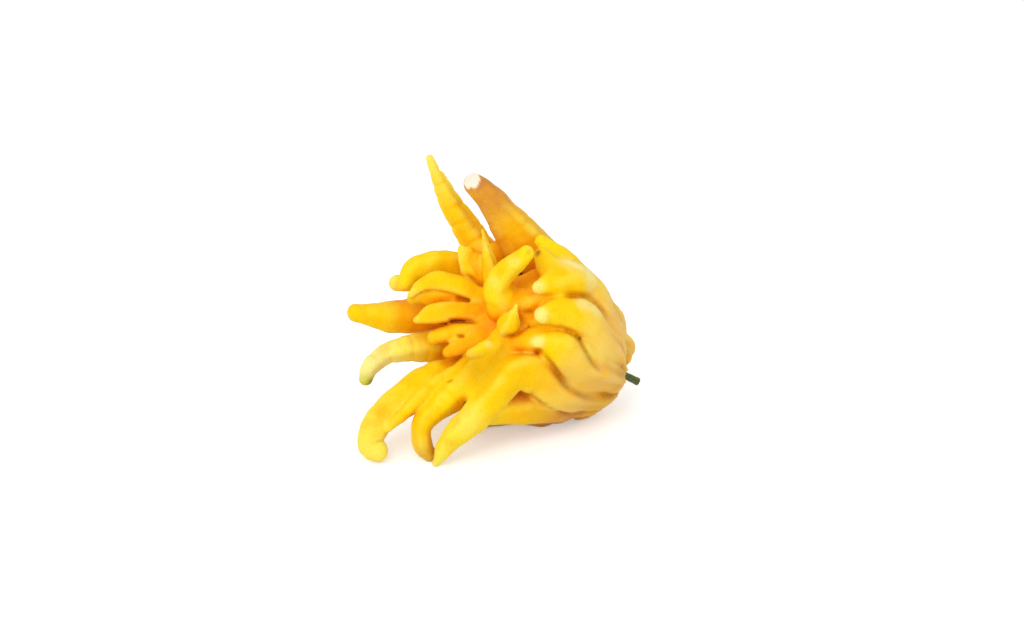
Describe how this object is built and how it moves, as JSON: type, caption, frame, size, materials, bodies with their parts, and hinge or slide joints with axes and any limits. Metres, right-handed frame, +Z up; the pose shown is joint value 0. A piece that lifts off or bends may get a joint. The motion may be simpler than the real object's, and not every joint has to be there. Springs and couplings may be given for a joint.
{
  "type": "buddhas hand citron",
  "caption": "Whole Buddha's hand citron lying on its side: a ribbed body that splits into long curling fingers, with the cut end of its stalk.",
  "frame": {"origin": "on the surface that the fruit rests on, under the middle of its body", "axes": "+Z up, out of the surface that it rests on; +X towards the stalk end, so the fingers point along -X"},
  "size_m": [0.211, 0.1504, 0.1694],
  "materials": {
    "rind": "satin, finely pitted citrus rind, golden yellow",
    "calyx": "matte, dry olive green",
    "stalk": "matte, dark green bark with a pale cut end"
  },
  "bodies": {
    "root": {"fruit": "rind", "calyx": "calyx", "stalk": "stalk"}
  },
  "joints": []
}
